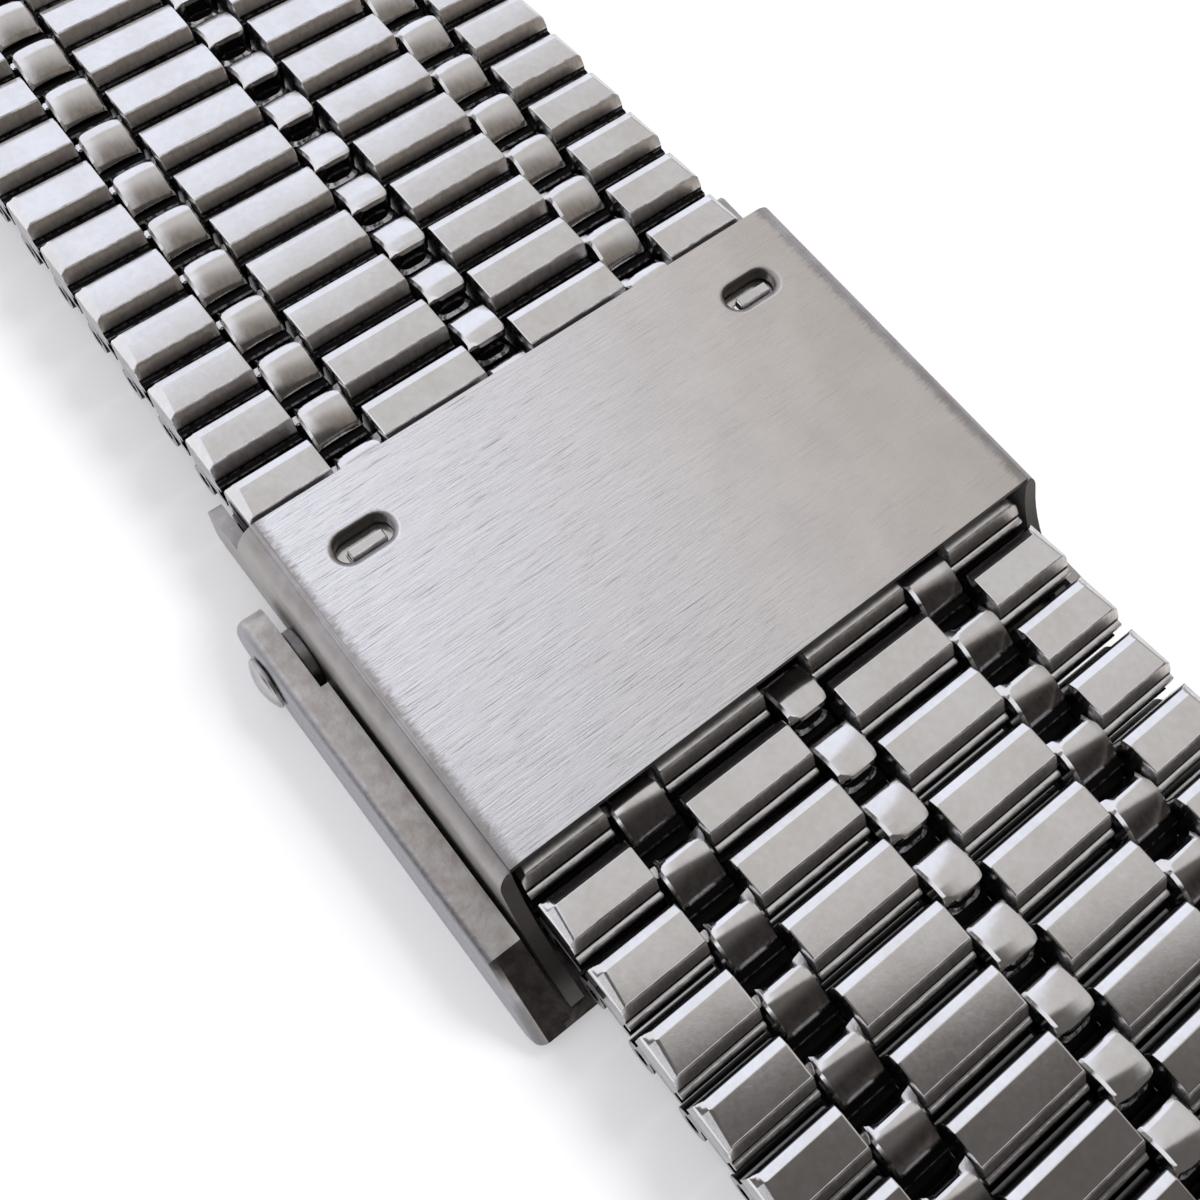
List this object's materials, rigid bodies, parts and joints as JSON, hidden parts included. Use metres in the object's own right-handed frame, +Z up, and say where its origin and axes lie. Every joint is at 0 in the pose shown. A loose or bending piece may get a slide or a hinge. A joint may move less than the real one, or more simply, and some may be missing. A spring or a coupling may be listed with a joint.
{
  "type": "watch bracelet",
  "caption": "Folded-link steel watch bracelet in a brick pattern with a sliding box clasp and spring-bar end links.",
  "frame": {"origin": "middle of the footprint, on the table that the bracelet lies on", "axes": "+X along the bracelet towards the half that slides in the clasp, +Y across the band, +Z up out of the bars' outer face"},
  "size_m": [0.1218, 0.0256, 0.0049],
  "materials": {
    "cover": "steel sheet brushed across the band",
    "links": "satin steel, rows of folded bars and beads",
    "end_links": "satin steel, rolled tubes",
    "lock": "satin steel sheet, a shade darker",
    "pins": "bright steel"
  },
  "bodies": {
    "clasp": {"cover": "cover", "anchor_link": "links", "lock_pin": "pins", "lock_washers": "pins"},
    "lock": {"lock_plate": "lock"},
    "tail": {"near_row_01": "links", "near_row_02": "links", "near_row_03": "links", "near_row_04": "links", "near_row_05": "links"},
    "near_row_06": {"near_row_06": "links"},
    "near_row_07": {"near_row_07": "links"},
    "near_row_08": {"near_row_08": "links"},
    "near_row_09": {"near_row_09": "links"},
    "near_row_10": {"near_row_10": "links"},
    "near_row_11": {"near_row_11": "links"},
    "near_row_12": {"near_row_12": "links"},
    "near_row_13": {"near_row_13": "links"},
    "near_row_14": {"near_row_14": "links"},
    "near_row_15": {"near_row_15": "links"},
    "near_row_16": {"near_row_16": "links"},
    "near_row_17": {"near_row_17": "links"},
    "near_row_18": {"near_row_18": "links"},
    "near_row_19": {"near_row_19": "links"},
    "near_row_20": {"near_row_20": "links"},
    "near_row_21": {"near_row_21": "links"},
    "near_row_22": {"near_row_22": "links"},
    "near_row_23": {"near_row_23": "links"},
    "near_row_24": {"near_row_24": "links"},
    "near_row_25": {"near_row_25": "links"},
    "end_link_near": {"end_link_near": "end_links"},
    "far_row_01": {"far_row_01": "links"},
    "far_row_02": {"far_row_02": "links"},
    "far_row_03": {"far_row_03": "links"},
    "far_row_04": {"far_row_04": "links"},
    "far_row_05": {"far_row_05": "links"},
    "far_row_06": {"far_row_06": "links"},
    "far_row_07": {"far_row_07": "links"},
    "far_row_08": {"far_row_08": "links"},
    "far_row_09": {"far_row_09": "links"},
    "far_row_10": {"far_row_10": "links"},
    "far_row_11": {"far_row_11": "links"},
    "far_row_12": {"far_row_12": "links"},
    "far_row_13": {"far_row_13": "links"},
    "far_row_14": {"far_row_14": "links"},
    "far_row_15": {"far_row_15": "links"},
    "far_row_16": {"far_row_16": "links"},
    "far_row_17": {"far_row_17": "links"},
    "far_row_18": {"far_row_18": "links"},
    "far_row_19": {"far_row_19": "links"},
    "far_row_20": {"far_row_20": "links"},
    "far_row_21": {"far_row_21": "links"},
    "end_link_far": {"end_link_far": "end_links"}
  },
  "joints": [
    {"name": "lock_hinge", "type": "hinge", "parent": "clasp", "child": "lock", "pos_m": [-0.00417, 0.00028, 0.0014], "axis": [0, 1, 0], "range_deg": [0, 95]},
    {"name": "tail_slide", "type": "slide", "parent": "clasp", "child": "tail", "axis": [1, 0, 0], "range_m": [0, 0.00703]},
    {"name": "near_row_06_hinge", "type": "hinge", "parent": "tail", "child": "near_row_06", "pos_m": [0.00986, 0.00028, 0.0014], "axis": [0, 1, 0], "range_deg": [-3, 7]},
    {"name": "near_row_07_hinge", "type": "hinge", "parent": "near_row_06", "child": "near_row_07", "pos_m": [0.01221, 0.00028, 0.0014], "axis": [0, 1, 0], "range_deg": [-3, 7]},
    {"name": "near_row_08_hinge", "type": "hinge", "parent": "near_row_07", "child": "near_row_08", "pos_m": [0.01455, 0.00028, 0.0014], "axis": [0, 1, 0], "range_deg": [-3, 7]},
    {"name": "near_row_09_hinge", "type": "hinge", "parent": "near_row_08", "child": "near_row_09", "pos_m": [0.0169, 0.00028, 0.0014], "axis": [0, 1, 0], "range_deg": [-3, 7]},
    {"name": "near_row_10_hinge", "type": "hinge", "parent": "near_row_09", "child": "near_row_10", "pos_m": [0.01924, 0.00028, 0.0014], "axis": [0, 1, 0], "range_deg": [-3, 7]},
    {"name": "near_row_11_hinge", "type": "hinge", "parent": "near_row_10", "child": "near_row_11", "pos_m": [0.02158, 0.00028, 0.0014], "axis": [0, 1, 0], "range_deg": [-3, 7]},
    {"name": "near_row_12_hinge", "type": "hinge", "parent": "near_row_11", "child": "near_row_12", "pos_m": [0.02393, 0.00028, 0.0014], "axis": [0, 1, 0], "range_deg": [-3, 7]},
    {"name": "near_row_13_hinge", "type": "hinge", "parent": "near_row_12", "child": "near_row_13", "pos_m": [0.02627, 0.00028, 0.0014], "axis": [0, 1, 0], "range_deg": [-3, 7]},
    {"name": "near_row_14_hinge", "type": "hinge", "parent": "near_row_13", "child": "near_row_14", "pos_m": [0.02862, 0.00028, 0.0014], "axis": [0, 1, 0], "range_deg": [-3.74, 6.26]},
    {"name": "near_row_15_hinge", "type": "hinge", "parent": "near_row_14", "child": "near_row_15", "pos_m": [0.03096, 0.00028, 0.00137], "axis": [0, 1, 0], "range_deg": [-4.38, 5.62]},
    {"name": "near_row_16_hinge", "type": "hinge", "parent": "near_row_15", "child": "near_row_16", "pos_m": [0.0333, 0.00028, 0.00128], "axis": [0, 1, 0], "range_deg": [-4.05, 5.95]},
    {"name": "near_row_17_hinge", "type": "hinge", "parent": "near_row_16", "child": "near_row_17", "pos_m": [0.03564, 0.00028, 0.00115], "axis": [0, 1, 0], "range_deg": [-3.57, 6.43]},
    {"name": "near_row_18_hinge", "type": "hinge", "parent": "near_row_17", "child": "near_row_18", "pos_m": [0.03798, 0.00028, 0.001], "axis": [0, 1, 0], "range_deg": [-3, 7]},
    {"name": "near_row_19_hinge", "type": "hinge", "parent": "near_row_18", "child": "near_row_19", "pos_m": [0.04032, 0.00028, 0.00085], "axis": [0, 1, 0], "range_deg": [-2.43, 7.57]},
    {"name": "near_row_20_hinge", "type": "hinge", "parent": "near_row_19", "child": "near_row_20", "pos_m": [0.04266, 0.00028, 0.00072], "axis": [0, 1, 0], "range_deg": [-1.95, 8.05]},
    {"name": "near_row_21_hinge", "type": "hinge", "parent": "near_row_20", "child": "near_row_21", "pos_m": [0.045, 0.00028, 0.00063], "axis": [0, 1, 0], "range_deg": [-1.62, 8.38]},
    {"name": "near_row_22_hinge", "type": "hinge", "parent": "near_row_21", "child": "near_row_22", "pos_m": [0.04735, 0.00028, 0.0006], "axis": [0, 1, 0], "range_deg": [-2.26, 7.74]},
    {"name": "near_row_23_hinge", "type": "hinge", "parent": "near_row_22", "child": "near_row_23", "pos_m": [0.04969, 0.00028, 0.0006], "axis": [0, 1, 0], "range_deg": [-3, 7]},
    {"name": "near_row_24_hinge", "type": "hinge", "parent": "near_row_23", "child": "near_row_24", "pos_m": [0.05203, 0.00028, 0.0006], "axis": [0, 1, 0], "range_deg": [-3, 7]},
    {"name": "near_row_25_hinge", "type": "hinge", "parent": "near_row_24", "child": "near_row_25", "pos_m": [0.05438, 0.00028, 0.0006], "axis": [0, 1, 0], "range_deg": [-3, 7]},
    {"name": "end_link_near_hinge", "type": "hinge", "parent": "near_row_25", "child": "end_link_near", "pos_m": [0.05672, 0.00028, 0.0006], "axis": [0, 1, 0], "range_deg": [-3, 7]},
    {"name": "far_row_01_hinge", "type": "hinge", "parent": "clasp", "child": "far_row_01", "pos_m": [-0.00692, 0.00028, 0.0014], "axis": [0, -1, 0], "range_deg": [-3, 7]},
    {"name": "far_row_02_hinge", "type": "hinge", "parent": "far_row_01", "child": "far_row_02", "pos_m": [-0.00926, 0.00028, 0.0014], "axis": [0, -1, 0], "range_deg": [-3, 7]},
    {"name": "far_row_03_hinge", "type": "hinge", "parent": "far_row_02", "child": "far_row_03", "pos_m": [-0.0116, 0.00028, 0.0014], "axis": [0, -1, 0], "range_deg": [-3, 7]},
    {"name": "far_row_04_hinge", "type": "hinge", "parent": "far_row_03", "child": "far_row_04", "pos_m": [-0.01395, 0.00028, 0.0014], "axis": [0, -1, 0], "range_deg": [-3, 7]},
    {"name": "far_row_05_hinge", "type": "hinge", "parent": "far_row_04", "child": "far_row_05", "pos_m": [-0.01629, 0.00028, 0.0014], "axis": [0, -1, 0], "range_deg": [-3, 7]},
    {"name": "far_row_06_hinge", "type": "hinge", "parent": "far_row_05", "child": "far_row_06", "pos_m": [-0.01863, 0.00028, 0.0014], "axis": [0, -1, 0], "range_deg": [-3, 7]},
    {"name": "far_row_07_hinge", "type": "hinge", "parent": "far_row_06", "child": "far_row_07", "pos_m": [-0.02098, 0.00028, 0.0014], "axis": [0, -1, 0], "range_deg": [-3, 7]},
    {"name": "far_row_08_hinge", "type": "hinge", "parent": "far_row_07", "child": "far_row_08", "pos_m": [-0.02332, 0.00028, 0.0014], "axis": [0, -1, 0], "range_deg": [-3, 7]},
    {"name": "far_row_09_hinge", "type": "hinge", "parent": "far_row_08", "child": "far_row_09", "pos_m": [-0.02567, 0.00028, 0.0014], "axis": [0, -1, 0], "range_deg": [-3.74, 6.26]},
    {"name": "far_row_10_hinge", "type": "hinge", "parent": "far_row_09", "child": "far_row_10", "pos_m": [-0.02801, 0.00028, 0.00137], "axis": [0, -1, 0], "range_deg": [-4.38, 5.62]},
    {"name": "far_row_11_hinge", "type": "hinge", "parent": "far_row_10", "child": "far_row_11", "pos_m": [-0.03035, 0.00028, 0.00128], "axis": [0, -1, 0], "range_deg": [-4.05, 5.95]},
    {"name": "far_row_12_hinge", "type": "hinge", "parent": "far_row_11", "child": "far_row_12", "pos_m": [-0.03269, 0.00028, 0.00115], "axis": [0, -1, 0], "range_deg": [-3.57, 6.43]},
    {"name": "far_row_13_hinge", "type": "hinge", "parent": "far_row_12", "child": "far_row_13", "pos_m": [-0.03503, 0.00028, 0.001], "axis": [0, -1, 0], "range_deg": [-3, 7]},
    {"name": "far_row_14_hinge", "type": "hinge", "parent": "far_row_13", "child": "far_row_14", "pos_m": [-0.03737, 0.00028, 0.00085], "axis": [0, -1, 0], "range_deg": [-2.43, 7.57]},
    {"name": "far_row_15_hinge", "type": "hinge", "parent": "far_row_14", "child": "far_row_15", "pos_m": [-0.03971, 0.00028, 0.00072], "axis": [0, -1, 0], "range_deg": [-1.95, 8.05]},
    {"name": "far_row_16_hinge", "type": "hinge", "parent": "far_row_15", "child": "far_row_16", "pos_m": [-0.04205, 0.00028, 0.00063], "axis": [0, -1, 0], "range_deg": [-1.62, 8.38]},
    {"name": "far_row_17_hinge", "type": "hinge", "parent": "far_row_16", "child": "far_row_17", "pos_m": [-0.0444, 0.00028, 0.0006], "axis": [0, -1, 0], "range_deg": [-2.26, 7.74]},
    {"name": "far_row_18_hinge", "type": "hinge", "parent": "far_row_17", "child": "far_row_18", "pos_m": [-0.04674, 0.00028, 0.0006], "axis": [0, -1, 0], "range_deg": [-3, 7]},
    {"name": "far_row_19_hinge", "type": "hinge", "parent": "far_row_18", "child": "far_row_19", "pos_m": [-0.04909, 0.00028, 0.0006], "axis": [0, -1, 0], "range_deg": [-3, 7]},
    {"name": "far_row_20_hinge", "type": "hinge", "parent": "far_row_19", "child": "far_row_20", "pos_m": [-0.05143, 0.00028, 0.0006], "axis": [0, -1, 0], "range_deg": [-3, 7]},
    {"name": "far_row_21_hinge", "type": "hinge", "parent": "far_row_20", "child": "far_row_21", "pos_m": [-0.05377, 0.00028, 0.0006], "axis": [0, -1, 0], "range_deg": [-3, 7]},
    {"name": "end_link_far_hinge", "type": "hinge", "parent": "far_row_21", "child": "end_link_far", "pos_m": [-0.05612, 0.00028, 0.0006], "axis": [0, -1, 0], "range_deg": [-3, 7]}
  ]
}
